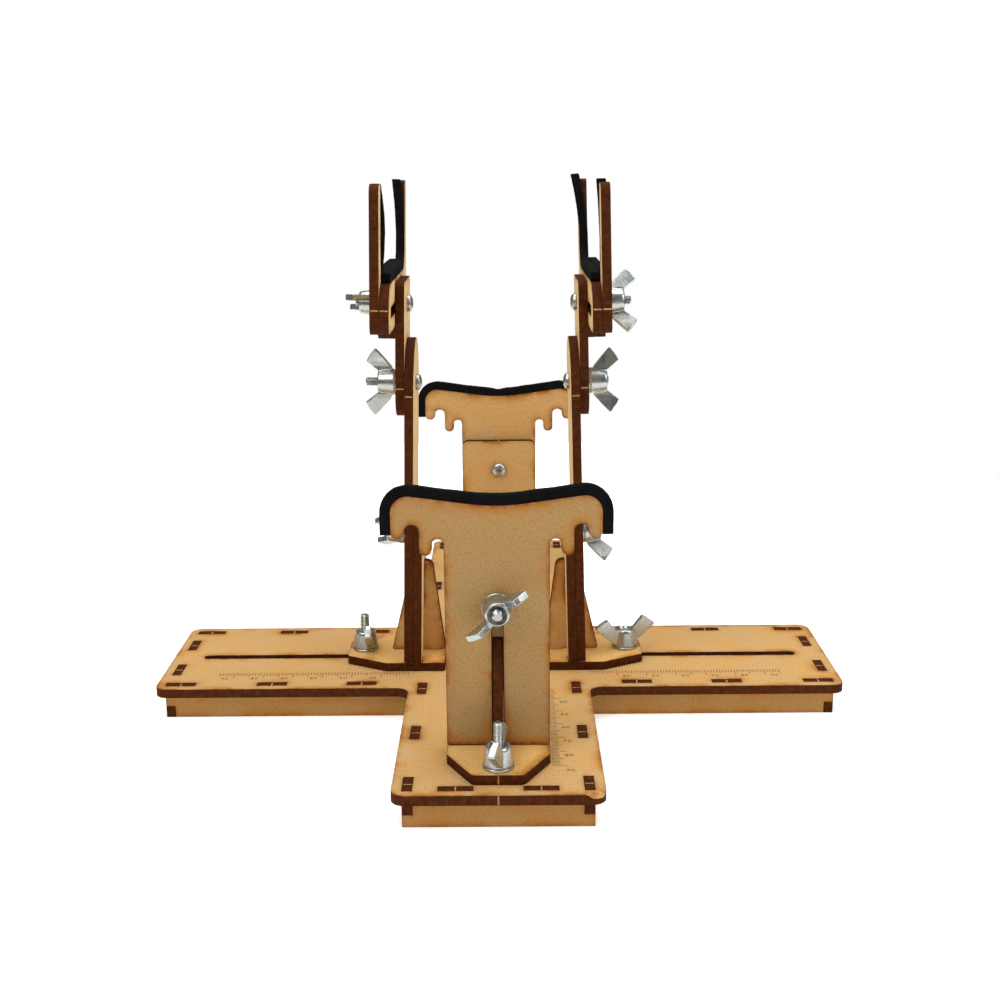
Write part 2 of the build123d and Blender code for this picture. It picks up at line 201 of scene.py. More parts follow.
def board_cut():
    """Laser-cut edge of the board: charred dark red brown, striped along the beam."""
    n = Nodes("laser_cut_edge")
    stripes = n.noise(n.coordinates("UV", (1.0, 0.08, 1.0)), 2.6, 3.0, 0.6)
    char = n.noise(n.coordinates("UV", (1.0, 1.0, 1.0)), 0.5, 3.0, 0.6)
    colour = n.mix(n.remap(char, 0.35, 0.7), srgb(58, 24, 3), srgb(82, 39, 8))
    colour = n.mix(n.remap(stripes, 0.52, 0.3, 0.0, 0.7), colour, srgb(33, 13, 3))
    n.link(colour, n.shader.inputs["Base Color"])
    n.link(n.remap(char, 0.3, 0.7, 0.66, 0.85), n.shader.inputs["Roughness"])
    n.shader.inputs["Specular IOR Level"].default_value = 0.08
    n.bump(stripes, 0.05 * MM, 0.8)
    return n.material


def board_engraving():
    """Shallow scorched lines of the scales."""
    n = Nodes("engraved_line")
    burn = n.noise(n.coordinates("UV", (1.0, 1.0, 1.0)), 1.1, 3.0)
    colour = n.mix(n.remap(burn, 0.3, 0.7), srgb(134, 80, 28), srgb(92, 50, 16))
    n.link(colour, n.shader.inputs["Base Color"])
    n.shader.inputs["Roughness"].default_value = 0.8
    n.bump(burn, 0.04 * MM)
    return n.material


def board_raw():
    """Torn inner fibres, where a bridge was snapped or a corner has split."""
    n = Nodes("torn_fibre")
    place = n.coordinates("Object", (1.0, 1.0, 1.0))
    fibres = n.noise(place, 1400.0, 4.0, 0.7)
    patches = n.noise(place, 420.0, 2.0)
    colour = n.mix(n.remap(patches, 0.4, 0.65), srgb(188, 142, 84), srgb(158, 104, 54))
    colour = n.mix(n.remap(fibres, 0.5, 0.3, 0.0, 0.8), colour, srgb(104, 60, 28))
    n.link(colour, n.shader.inputs["Base Color"])
    n.shader.inputs["Roughness"].default_value = 0.9
    n.bump(fibres, 0.15 * MM)
    return n.material


def zinc(name, tint, metallic, rough_low, rough_high, grain):
    """Bright zinc plating with cloudy patches and a fine cast or rolled grain."""
    n = Nodes(name)
    place = n.coordinates("Object", (1.0, 1.0, 1.0))
    clouds = n.noise(place, 260.0, 2.0)
    pits = n.noise(place, 2600.0, 2.0, 0.6)
    n.link(n.mix(n.remap(clouds, 0.35, 0.65), tint, srgb(178, 178, 168)), n.shader.inputs["Base Color"])
    n.shader.inputs["Metallic"].default_value = metallic
    n.link(n.remap(clouds, 0.35, 0.68, rough_low, rough_high), n.shader.inputs["Roughness"])
    n.bump(pits, grain)
    return n.material


def foam_black():
    """Closed-cell foam: matt black skin with fine cells."""
    n = Nodes("black_foam")
    place = n.coordinates("Object", (1.0, 1.0, 1.0))
    cells = n.add("ShaderNodeTexVoronoi", feature="F1")
    cells.inputs["Scale"].default_value = 2900.0
    n.link(place, cells.inputs["Vector"])
    scuffs = n.noise(place, 300.0, 3.0, 0.6)
    n.link(n.mix(n.remap(scuffs, 0.4, 0.75), srgb(6, 6, 6), srgb(17, 16, 15)), n.shader.inputs["Base Color"])
    n.link(n.remap(scuffs, 0.3, 0.7, 0.78, 0.95), n.shader.inputs["Roughness"])
    n.shader.inputs["Specular IOR Level"].default_value = 0.08
    n.bump(n.math("ADD", cells.outputs["Distance"], scuffs), 0.06 * MM, 0.6)
    return n.material


CUT = board_cut()
ENGRAVED = board_engraving()
RAW = board_raw()
TOP_FACE = board_face("board_face_top", srgb(186, 150, 98), srgb(192, 146, 82), 0.9)
# The rails' copy of the board face is darker: painted shade from the base plate's overhang, not a different
# board.
RAIL_FACE_PAINTED_SHADE = board_face("board_face_rail_painted_shade", srgb(158, 118, 62), srgb(160, 112, 50), 0.7)
PANEL_FACE = board_face("board_face_panel", srgb(188, 148, 92), srgb(190, 144, 80), 1.0)
PALE_FACE = board_face("board_face_pale", srgb(216, 188, 138), srgb(218, 184, 126), 0.8)
FOOT_FACE = board_face("board_face_foot", srgb(206, 164, 100), srgb(208, 160, 88), 1.0)
# A darker copy of the board face for the front bracket: painted shade on its front-facing boards, not a
# duller board.
FRONT_FACE_PAINTED_SHADE = board_face("board_face_front_painted_shade", srgb(152, 121, 76), srgb(156, 120, 70), 1.0)
BOLT_METAL = zinc("zinc_rolled", srgb(168, 172, 174), 0.9, 0.26, 0.46, 0.006 * MM)
NUT_METAL = zinc("zinc_cast", srgb(170, 176, 176), 0.9, 0.22, 0.4, 0.02 * MM)
FOAM_SKIN = foam_black()


# ---------------------------------------------------------------- mesh helpers
FACE, EDGE, MARK, TORN = range(4)  # material indices of every board piece


def finish_mesh(bm, name, materials, smooth_below=28):
    """A new object from a bmesh, with curved stretches smooth and corners sharp."""
    mesh = bpy.data.meshes.new(name)
    bm.to_mesh(mesh)
    bm.free()
    for material in materials:
        mesh.materials.append(material)
    mesh.shade_smooth()
    mesh.set_sharp_from_angle(angle=math.radians(smooth_below))
    if CUT.name in mesh.materials:
        for polygon in mesh.polygons:
            polygon.use_smooth = polygon.material_index == EDGE
    piece = bpy.data.objects.new(name, mesh)
    bpy.context.scene.collection.objects.link(piece)
    return piece


def stand_in(piece, node):
    """The piece takes a CAD node's place and moves as it does."""
    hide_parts(node)
    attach(piece, BODY_OF[node])
    return piece


def applied(piece):
    """The piece's mesh with its modifiers applied, in place of the one it had."""
    shown = piece.evaluated_get(bpy.context.evaluated_depsgraph_get())
    mesh = bpy.data.meshes.new_from_object(shown)
    piece.modifiers.clear()
    piece.data = mesh
    return piece


def extent(points):
    """Lower and upper corners of a set of points."""
    low = Vector([min(p[i] for p in points) for i in range(3)])
    high = Vector([max(p[i] for p in points) for i in range(3)])
    return low, high


def islands(bm):
    """Faces of each separate solid, in the mesh's own order."""
    seen = set()
    for first in bm.faces:
        if first in seen:
            continue
        seen.add(first)
        solid = [first]
        for face in solid:
            for near in (g for e in face.edges for g in e.link_faces):
                if near not in seen:
                    seen.add(near)
                    solid.append(near)
        yield solid


# ---------------------------------------------------------------- boards
BOARD_BEVEL = 0.13 * MM
NIB_WIDTH = 0.4 * MM
NIB_PROUD = 0.05 * MM
NIB_SHARE = 0.86  # of the board's thickness


def clean_board(node):
    """The CAD board without the triangles inside its flat faces."""
    bm = bmesh.new()
    bm.from_mesh(frame["nodes"][node].data)
    bmesh.ops.remove_doubles(bm, verts=bm.verts, dist=1e-6)
    bmesh.ops.dissolve_limit(bm, angle_limit=math.radians(0.4), verts=bm.verts, edges=bm.edges)
    for face in bm.faces:
        face.material_index = EDGE
    return bm


def paint_board(bm, offset):
    """Marks sheet faces, softens the cut's corners, and lays the board's grain out as UVs in mm."""
    for solid in list(islands(bm)):
        low, high = extent([v.co for f in solid for v in f.verts])
        size = list(high - low)
        thin = size.index(min(size))
        for face in solid:
            if abs(face.normal[thin]) > 0.9 and face.material_index == EDGE:
                face.material_index = FACE
    rims = [e for e in bm.edges if {f.material_index for f in e.link_faces} == {FACE, EDGE}]
    bmesh.ops.bevel(bm, geom=rims, offset=BOARD_BEVEL, segments=2, profile=0.5, affect="EDGES",
                    clamp_overlap=True, material=EDGE)
    uv = bm.loops.layers.uv.new("grain")
    for number, solid in enumerate(list(islands(bm))):
        low, high = extent([v.co for f in solid for v in f.verts])
        size = list(high - low)
        thin = size.index(min(size))
        along = size.index(max(size))
        across = 3 - thin - along
        shift = (offset + number * 37.0, offset * 1.7)
        for face in solid:
            flat = face.material_index in (FACE, MARK)
            tangent = Vector((0, 0, 0))
            tangent[thin] = 1.0
            tangent = tangent.cross(face.normal)
            for loop in face.loops:
                place = loop.vert.co / MM
                if flat:
                    loop[uv].uv = (place[across] + shift[0], place[along] + shift[1])
                else:
                    loop[uv].uv = (place.dot(tangent) + shift[0], place[thin] + shift[1])
    return bm


def add_nib(bm, at, outward, thin, thickness):
    """The pale stub of a snapped holding bridge, across a cut edge."""
    side = outward.cross(thin)
    turn = Matrix((side, thin, outward)).transposed().to_4x4()
    size = Matrix.Diagonal((NIB_WIDTH, thickness * NIB_SHARE, 2 * NIB_PROUD, 1.0))
    made = bmesh.ops.create_cube(bm, size=1.0, matrix=Matrix.Translation(at) @ turn @ size)
    faces = {f for v in made["verts"] for f in v.link_faces}
    for face in faces:
        face.material_index = TORN


def lean_of(side):
    """The turn that takes an upright board to the way its bracket leans."""
    lift = JOINTS.get(f"{side}_arm_lift") or JOINTS[f"{side}_saddle_lift"]
    return UP.rotation_difference(Vector(lift["axis"])).to_matrix()


def nibs_on(bm, places):
    """Stubs on a board's outer edges. Each place is (direction out of the edge, share along it)."""
    low, high = extent([v.co for v in bm.verts])
    size = high - low
    thin_axis = min(range(3), key=lambda i: size[i])
    thin = Vector([float(i == thin_axis) for i in range(3)])
    for outward, share in places:
        outward = Vector(outward)
        out_axis = max(range(3), key=lambda i: abs(outward[i]))
        along_axis = 3 - out_axis - thin_axis
        at = (low + high) / 2
        at[out_axis] = high[out_axis] if outward[out_axis] > 0 else low[out_axis]
        at[along_axis] = low[along_axis] + share * size[along_axis]
        add_nib(bm, at, outward, thin, size[thin_axis])


def board_piece(node, face_material, offset, nibs=()):
    """A laser-cut board of a bracket, painted while upright and then leaned as its bracket is."""
    side, name = node.split("_", 1)
    lean = Matrix.Identity(3) if name == "foot_plate" else lean_of(side)
    bm = clean_board(node)
    bmesh.ops.transform(bm, matrix=lean.inverted().to_4x4(), verts=bm.verts)
    paint_board(bm, offset)
    nibs_on(bm, nibs)
    bmesh.ops.transform(bm, matrix=lean.to_4x4(), verts=bm.verts)
    piece = finish_mesh(bm, f"{node}_board", (face_material, CUT, ENGRAVED, RAW))
    return stand_in(piece, node)


# ---------------------------------------------------------------- engraved base plate
LINE_WIDTH = 0.24 * MM
LINE_DEPTH = 0.14 * MM
TICK_LENGTH = {1: 2.3 * MM, 5: 3.3 * MM, 10: 4.6 * MM}
LABEL_HEIGHT = 1.8 * MM
LABEL_PAST_TICK = 2.8 * MM
LABEL_GAP = 0.4 * MM
SCALE_FROM_CENTRE = 15.6 * MM  # a scale's baseline, from the middle line of its arm
RECESS = 0.12 * MM  # tabs stop this far under the plate's top
BITE_REACH = Vector((5.8, 3.3, 2.6)) * MM  # half sizes of the split at the front right corner
BITE_MIDDLE = Vector((-0.4, 0.1, 1.1)) * MM  # its middle, from the corner of the plate's top


def rectangle_loop(bm, corner, along, across, length, width, height):
    far = corner + along * length
    points = [corner, far, far + across * width, corner + across * width]
    verts = [bm.verts.new((p.x, p.y, height)) for p in points]
    return [bm.edges.new((verts[i], verts[(i + 1) % 4])) for i in range(4)]


def label_loops(bm, text, centre, along, height):
    """Outlines of a small number, read along a direction, as closed loops of edges."""
    curve = bpy.data.curves.new("label", "FONT")
    curve.body = text
    curve.size = LABEL_HEIGHT * 1.35
    curve.space_character = 1.15
    curve.align_x = "CENTER"
    curve.align_y = "CENTER"
    curve.resolution_u = 2
    curve.fill_mode = "NONE"
    holder = bpy.data.objects.new("label", curve)
    bpy.context.scene.collection.objects.link(holder)
    bpy.context.view_layer.update()
    mesh = bpy.data.meshes.new_from_object(holder.evaluated_get(bpy.context.evaluated_depsgraph_get()))
    up = Vector((-along.y, along.x, 0))
    verts = []
    for v in mesh.vertices:
        place = centre + along * v.co.x + up * v.co.y
        verts.append(bm.verts.new((place.x, place.y, height)))
    edges = [bm.edges.new((verts[a], verts[b])) for a, b in (e.vertices for e in mesh.edges)]
    bpy.data.objects.remove(holder)
    bpy.data.curves.remove(curve)
    bpy.data.meshes.remove(mesh)
    return edges


def scale_loops(bm, origin, along, ticks_to, first, last, height, label_turn):
    """Millimetre ticks from first to last along a line, with a number after every tenth."""
    loops = []
    for mark in range(first, last + 1):
        kind = 10 if mark % 10 == 0 else 5 if mark % 5 == 0 else 1
        corner = origin + along * (mark * MM - LINE_WIDTH / 2)
        loops += rectangle_loop(bm, corner, along, ticks_to, LINE_WIDTH, TICK_LENGTH[kind], height)
        if kind == 10:
            centre = origin + along * (mark * MM + LABEL_PAST_TICK) + ticks_to * (TICK_LENGTH[10] + LABEL_GAP)
            loops += label_loops(bm, str(mark), centre, label_turn, height)
    return loops


def engrave(bm, loops, depth):
    """Sinks closed loops lying in the open top of the plate, then fills the top round them."""
    rim = [e for e in bm.edges if len(e.link_faces) == 1]
    filled = bmesh.ops.triangle_fill(bm, use_beauty=True, use_dissolve=False, edges=rim + loops)
    for item in filled["geom"]:
        if isinstance(item, bmesh.types.BMFace):
            item.material_index = FACE
            if item.normal.z < 0:
                item.normal_flip()
    sunk = bmesh.ops.extrude_edge_only(bm, edges=loops)["geom"]
    for item in sunk:
        if isinstance(item, bmesh.types.BMVert):
            item.co.z -= depth
        if isinstance(item, bmesh.types.BMFace):
            item.material_index = MARK
    floor_edges = [e for e in sunk if isinstance(e, bmesh.types.BMEdge) and len(e.link_faces) == 1]
    bottoms = bmesh.ops.triangle_fill(bm, use_beauty=True, use_dissolve=False, edges=floor_edges)
    for item in bottoms["geom"]:
        if isinstance(item, bmesh.types.BMFace):
            item.material_index = MARK
            if item.normal.z < 0:
                item.normal_flip()


def chipped(bm, corner):
    """The plate with a ragged bite split off its upper front right corner."""
    materials = (TOP_FACE, CUT, ENGRAVED, RAW)
    plate = finish_mesh(bm, "plate", materials)
    lump = bmesh.new()
    bmesh.ops.create_icosphere(lump, subdivisions=4, radius=1.0)
    for vert in lump.verts:
        rough = noise.noise(vert.co * 2.3) * 0.12 + noise.noise(vert.co * 7.0) * 0.05
        place = vert.co * (1.0 + rough)
        vert.co = corner + BITE_MIDDLE + place * BITE_REACH
    for face in lump.faces:
        face.material_index = TORN
    cutter = finish_mesh(lump, "chip_cutter", materials)
    bite = plate.modifiers.new("chip", "BOOLEAN")
    bite.object = cutter
    bite.operation = "DIFFERENCE"
    bite.solver = "EXACT"
    applied(plate)
    bm = bmesh.new()
    bm.from_mesh(plate.data)
    bpy.data.objects.remove(cutter)
    bpy.data.objects.remove(plate)
    return bm


def build_base_plate():
    node = "base_top_plate"
    low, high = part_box(node)
    top = high.z
    wing_y = sum(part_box("right_foot_plate")[i].y for i in (0, 1)) / 2
    front_x = sum(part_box("front_foot_plate")[i].x for i in (0, 1)) / 2
    bm = chipped(clean_board(node), Vector((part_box("arm_side_rails")[1].x + 3 * MM, low.y, top)))
    lids = [f for f in bm.faces if f.normal.z > 0.99 and abs(f.calc_center_median().z - top) < 1e-5]
    bmesh.ops.delete(bm, geom=lids, context="FACES_ONLY")
    loops = []
    for sign in (-1, 1):
        origin = Vector((front_x, wing_y - SCALE_FROM_CENTRE, 0))
        loops += scale_loops(bm, origin, Vector((sign, 0, 0)), Vector((0, -1, 0)), 31, 95, top,
                             Vector((1, 0, 0)))
    origin = Vector((front_x + SCALE_FROM_CENTRE, wing_y, 0))
    loops += scale_loops(bm, origin, Vector((0, -1, 0)), Vector((1, 0, 0)), 32, 90, top, Vector((1, 0, 0)))
    engrave(bm, loops, LINE_DEPTH)
    paint_board(bm, 11.0)
    nibs_on(bm, [((0, -1, 0), 0.5), ((0, 1, 0), 0.5)])
    for sign, x in ((-1, low.x), (1, high.x)):
        add_nib(bm, Vector((x, wing_y, (low.z + high.z) / 2)), Vector((sign, 0, 0)), UP, high.z - low.z)
    piece = finish_mesh(bm, "base_plate_board", (TOP_FACE, CUT, ENGRAVED, RAW))
    return stand_in(piece, node)


def build_rails():
    """Rails under the base, their tabs a little below the plate's top."""
    plate_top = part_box("base_top_plate")[1].z
    for number, node in enumerate(("arm_side_rails", "wing_side_rails", "end_rails")):
        bm = clean_board(node)
        for vert in bm.verts:
            if abs(vert.co.z - plate_top) < 1e-5:
                vert.co.z -= RECESS
        paint_board(bm, 60.0 + 90.0 * number)
        lids = [f for f in bm.faces if f.normal.z > 0.99]
        tab_tops = [f for f in lids if f.calc_center_median().z > plate_top - 2 * RECESS]
        for face in tab_tops:
            low, high = extent([v.co for v in face.verts])
            thin = Vector((0, 1, 0)) if high.x - low.x > high.y - low.y else Vector((1, 0, 0))
            add_nib(bm, face.calc_center_median(), UP, thin, min(high.x - low.x, high.y - low.y))
        stand_in(finish_mesh(bm, f"{node}_board", (RAIL_FACE_PAINTED_SHADE, CUT, ENGRAVED, RAW)), node)


# ---------------------------------------------------------------- fasteners
BOLT_R = 1.5 * MM
THREAD_PITCH = 0.5 * MM
THREAD_DEPTH = 0.27 * MM
HEAD_R = 2.75 * MM
HEAD_H = 2.0 * MM
WASHER_R = 4.5 * MM
WASHER_BORE = 1.62 * MM
WASHER_H = 0.8 * MM
WASHER_GAP = 0.05 * MM


def revolve_profile(bm, profile, steps, closed):
    """Surface of revolution about z through (radius, height) points."""
    rings = []
    for radius, height in profile:
        if radius < 1e-9:
            rings.append([bm.verts.new((0, 0, height))] * steps)
        else:
            angles = [2 * math.pi * i / steps for i in range(steps)]
            rings.append([bm.verts.new((radius * math.cos(a), radius * math.sin(a), height)) for a in angles])
    following = rings[1:] + rings[:1] if closed else rings[1:]
    for lower, upper in zip(rings, following):
        for i in range(steps):
            j = (i + 1) % steps
            corners = [lower[i], lower[j], upper[j], upper[i]]
            unique = list(dict.fromkeys(corners))
            if len(unique) > 2:
                bm.faces.new(unique)


def threaded_rod(bm, length, steps=24):
    """M3 thread along z from 0, with a chamfered end."""
    rows_per_turn = 6
    rows = round(length / THREAD_PITCH * rows_per_turn)
    rings = []
    for row in range(rows + 1):
        z = length * row / rows
        ring = []
        for i in range(steps):
            phase = (z / THREAD_PITCH - i / steps) % 1.0
            valley = 1.0 - abs(2.0 * phase - 1.0)
            radius = BOLT_R - THREAD_DEPTH * min(1.0, valley * 1.25)
            radius = min(radius, BOLT_R - 0.42 * MM + (length - z) * 0.9)
            angle = 2 * math.pi * i / steps
            ring.append(bm.verts.new((radius * math.cos(angle), radius * math.sin(angle), z)))
        rings.append(ring)
    for lower, upper in zip(rings, rings[1:]):
        for i in range(steps):
            j = (i + 1) % steps
            bm.faces.new((lower[i], lower[j], upper[j], upper[i]))
    bm.faces.new(reversed(rings[0]))
    bm.faces.new(rings[-1])


def pan_head():
    """Pan head below z = 0 with a tapered cross recess, as a mesh."""
    bm = bmesh.new()
    crown = [(0.0, -HEAD_H)]
    for step in range(1, 9):
        angle = math.radians(90 * step / 8)
        crown.append((HEAD_R * math.sin(angle), -0.7 * MM - (HEAD_H - 0.7 * MM) * math.cos(angle)))
    crown += [(HEAD_R, -0.15 * MM), (HEAD_R - 0.15 * MM, 0.0), (0.0, 0.0)]
    revolve_profile(bm, crown, 40, closed=False)
    bmesh.ops.recalc_face_normals(bm, faces=bm.faces)
    head = finish_mesh(bm, "pan_head", (BOLT_METAL,))
    bm = bmesh.new()
    for turn in (0, 90):
        made = bmesh.ops.create_cube(bm, size=1.0)
        for vert in made["verts"]:
            deep = vert.co.z > 0
            vert.co.x *= (1.5 if deep else 3.0) * MM
            vert.co.y *= (0.4 if deep else 0.62) * MM
            vert.co.z = (-0.75 if deep else -2.6) * MM
        bmesh.ops.rotate(bm, verts=made["verts"], matrix=Matrix.Rotation(math.radians(turn), 3, "Z"))
    cross = finish_mesh(bm, "cross", (BOLT_METAL,))
    cut = head.modifiers.new("recess", "BOOLEAN")
    cut.object = cross
    cut.operation = "DIFFERENCE"
    cut.solver = "EXACT"
    cut.use_self = True
    applied(head)
    bpy.data.objects.remove(cross)
    mesh = head.data
    bpy.data.objects.remove(head)
    return mesh


def washer_profile(base):
    edge = 0.12 * MM
    top = base + WASHER_H
    return [(WASHER_BORE, base), (WASHER_R - edge, base), (WASHER_R, base + edge), (WASHER_R, top - edge),
            (WASHER_R - edge, top), (WASHER_BORE, top)]


def cast_wing_nut():
    """Wing nut along +z from 0 with its wings along x: tapered hub, offset flaring wings."""
    bm = bmesh.new()
    hub = [(1.62, 0.0), (4.2, 0.0), (4.35, 0.5), (4.2, 1.4), (3.7, 5.0), (3.5, 5.6), (3.2, 5.9),
           (2.9, 5.85), (1.62, 4.3)]
    revolve_profile(bm, [(r * MM, z * MM) for r, z in hub], 48, closed=True)
    sections = [  # along the wing: (x, z low, z high, half thickness, sideways shift)
        (2.0, 0.6, 5.0, 1.0, 1.1), (3.6, 0.7, 5.9, 1.0, 1.4), (5.2, 1.5, 7.9, 0.95, 1.45),
        (6.7, 2.8, 9.75, 0.95, 1.4), (8.2, 4.1, 9.0, 1.0, 1.3), (9.8, 5.6, 7.8, 1.05, 1.2),
        (10.8, 6.5, 7.1, 1.0, 1.15),
    ]
    for sign in (1, -1):
        rings = []
        for x, z_low, z_high, half, shift in sections:
            ring = []
            for y, z in ((-half, z_low), (half, z_low), (half, z_high), (-half, z_high)):
                ring.append(bm.verts.new(Vector((sign * x, sign * (y + shift), z)) * MM))
            rings.append(ring)
        for lower, upper in zip(rings, rings[1:]):
            for i in range(4):
                j = (i + 1) % 4
                bm.faces.new((lower[i], lower[j], upper[j], upper[i]))
        bm.faces.new(rings[0])
        bm.faces.new(rings[-1])
    bmesh.ops.recalc_face_normals(bm, faces=bm.faces)
    nut = finish_mesh(bm, "cast_nut", (NUT_METAL,))
    blend = nut.modifiers.new("cast", "REMESH")
    blend.mode = "VOXEL"
    blend.voxel_size = 0.16 * MM
    soft = nut.modifiers.new("soft", "SMOOTH")
    soft.factor = 0.5
    soft.iterations = 2
    applied(nut)
    mesh = nut.data
    bpy.data.objects.remove(nut)
    return mesh


def frame_at(place, along, wing=None):
    """Matrix that puts a fastener drawn along +z at place, pointing along a direction."""
    side = wing if wing is not None else (UP if abs(along.z) < 0.5 else Vector((1, 0, 0)))
    side = (side - along * side.dot(along)).normalized()
    return Matrix.Translation(place) @ Matrix((side, along.cross(side), along)).transposed().to_4x4()


def build_fastener(side, name):
    """Bolt with its washers, and the wing nut, along the axis the nut turns on."""
    bolt_node = f"{side}_{name}_bolt"
    nut_node = f"{side}_{name}_wing_nut"
    joint = JOINTS[f"{side}_{name}_nut_turn"]
    origin = Vector(joint["pos_m"])
    along = Vector(joint["axis"]).normalized()
    bolt_spans = [(v.co - origin).dot(along) for v in frame["nodes"][bolt_node].data.vertices]
    head_end = origin + along * min(bolt_spans)
    length = max(bolt_spans) - min(bolt_spans)
    arms = [v.co - head_end for v in frame["nodes"][nut_node].data.vertices]
    seat = min(arm.dot(along) for arm in arms)
    wing = max((arm - along * arm.dot(along) for arm in arms), key=lambda arm: arm.length)
    bm = bmesh.new()
    threaded_rod(bm, length - HEAD_H)
    bm.from_mesh(PAN_HEAD)
    revolve_profile(bm, washer_profile(seat - HEAD_H - WASHER_GAP - WASHER_H), 48, closed=True)
    if name == "foot":
        revolve_profile(bm, washer_profile(0.0), 48, closed=True)
    bmesh.ops.recalc_face_normals(bm, faces=bm.faces)
    bmesh.ops.transform(bm, matrix=frame_at(head_end + along * HEAD_H, along), verts=bm.verts)
    stand_in(finish_mesh(bm, f"{bolt_node}_set", (BOLT_METAL,), 40), bolt_node)
    bm = bmesh.new()
    bm.from_mesh(CAST_NUT)
    bmesh.ops.transform(bm, matrix=frame_at(head_end + along * seat, along, wing), verts=bm.verts)
    stand_in(finish_mesh(bm, f"{nut_node}_cast", (NUT_METAL,), 70), nut_node)


# ---------------------------------------------------------------- foam
FOAM_VOXEL = 0.3 * MM
FOAM_WAVE = 0.2 * MM
FOAM_CRUMB = 0.05 * MM
CREASE_REACH = 4 * MM
PEEL_REACH = 20 * MM
FOAM_SIDE_WAVE = 0.25  # waves stay small sideways, where the other jaw's strip lies close


def foam_piece(node, bend):
    """The CAD strip with soft corners and hand-glued waves. bend(place) gives a point's new place."""
    bm = bmesh.new()
    bm.from_mesh(frame["nodes"][node].data)
    bmesh.ops.remove_doubles(bm, verts=bm.verts, dist=1e-6)
    strip = finish_mesh(bm, f"{node}_strip", (FOAM_SKIN,), 70)
    cells = strip.modifiers.new("cells", "REMESH")
    cells.mode = "VOXEL"
    cells.voxel_size = FOAM_VOXEL
    soft = strip.modifiers.new("soft", "SMOOTH")
    soft.factor = 0.5
    soft.iterations = 4
    applied(strip)
    seed = Vector((len(node), node.count("r"), node.count("e"))) * 3.1
    for vert in strip.data.vertices:
        wave = noise.noise_vector(vert.co * 170.0 + seed) * FOAM_WAVE
        wave.x *= FOAM_SIDE_WAVE
        crumb = noise.noise_vector(vert.co * 900.0 + seed) * FOAM_CRUMB
        vert.co = bend(vert.co.copy()) + wave + crumb
    strip.data.shade_smooth()
    return stand_in(strip, node)


def as_laid(place):
    """The strip lies flat on its board."""
    return place


def creased(fold, depth):
    """The strip folds sharply over a line across it at x = fold."""
    def bend(place):
        near = max(0.0, 1.0 - abs(place.x - fold) / CREASE_REACH)
        return place + Vector((0, 0, -depth * near))
    return bend


def drifting(node, drift, rise):
    """The strip's upper end has come away from its prong: it drifts sideways and stands proud."""
    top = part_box(node)[1].z

    def bend(place):
        share = max(0.0, 1.0 - (top - place.z) / PEEL_REACH)
        return place + Vector((drift * share * share, 0, rise * share ** 3))
    return bend


def bulging(node, swell):
    """The strip's middle stands away from its prong sideways."""
    low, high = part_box(node)

    def bend(place):
        share = (place.z - low.z) / (high.z - low.z)
        return place + Vector((swell * math.sin(math.pi * min(1.0, max(0.0, share))), 0, 0))
    return bend


# ---------------------------------------------------------------- build
PAN_HEAD = pan_head()
CAST_NUT = cast_wing_nut()
ARM_BOARDS = (  # name, shift of its grain, share of the edge where its nibs are
    ("lift_arm", 103, 0.84),
    ("swing_arm", 141, 0.23),
    ("inner_jaw", 177, 0.25),
    ("outer_jaw", 219, 0.25),
)
# The front bracket's tall boards take the darker copy, which is painted shade.
TALL_FACE = {"front": FRONT_FACE_PAINTED_SHADE, "rear": PANEL_FACE, "left": PALE_FACE, "right": PALE_FACE}

build_base_plate()
build_rails()
grain = 300.0
for side in SIDES:
    out = OUTWARD[side]
    across = Vector((out.y, -out.x, 0))
    board_piece(f"{side}_foot_plate", FOOT_FACE, grain, [(out, 0.5)])
    board_piece(f"{side}_upright", TALL_FACE[side], grain + 31, [(UP, 0.5)])
    board_piece(f"{side}_gusset", PANEL_FACE, grain + 67, [(UP, 0.5)])
    build_fastener(side, "foot")
    if side in ("front", "rear"):
        board_piece(f"{side}_saddle_plate", TALL_FACE[side], grain + 103)
        build_fastener(side, "saddle")
    else:
        for name, shift, nib_at in ARM_BOARDS:
            both_edges = [(across, nib_at), (-across, nib_at)]
            board_piece(f"{side}_{name}", PALE_FACE, grain + shift, both_edges)
        for name in ("arm", "swing", "head"):
            build_fastener(side, name)
    grain += 411.0

saddle_middle = sum(point.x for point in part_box("rear_saddle_plate")) / 2
foam_piece("front_saddle_foam", as_laid)
foam_piece("rear_saddle_foam", creased(saddle_middle, 0.6 * MM))
foam_piece("left_inner_jaw_foam", drifting("left_inner_jaw_foam", -1.4 * MM, 0.5 * MM))
foam_piece("left_outer_jaw_foam", bulging("left_outer_jaw_foam", 1.2 * MM))
foam_piece("right_inner_jaw_foam", drifting("right_inner_jaw_foam", -2.8 * MM, 1.8 * MM))
foam_piece("right_outer_jaw_foam", drifting("right_outer_jaw_foam", -0.8 * MM, 1.0 * MM))


# ---------------------------------------------------------------- studio
CAMERA_PLACE = Vector((2.6, -470.1, 181.6)) * MM
CAMERA_LENS = 48.9
CAMERA_YAW = math.radians(-0.241)
CAMERA_PITCH = math.radians(-14.222)
CAMERA_ROLL = math.radians(-0.498)
FLOOR_RADIUS = 0.4
FLOOR_GLOW = 0.32


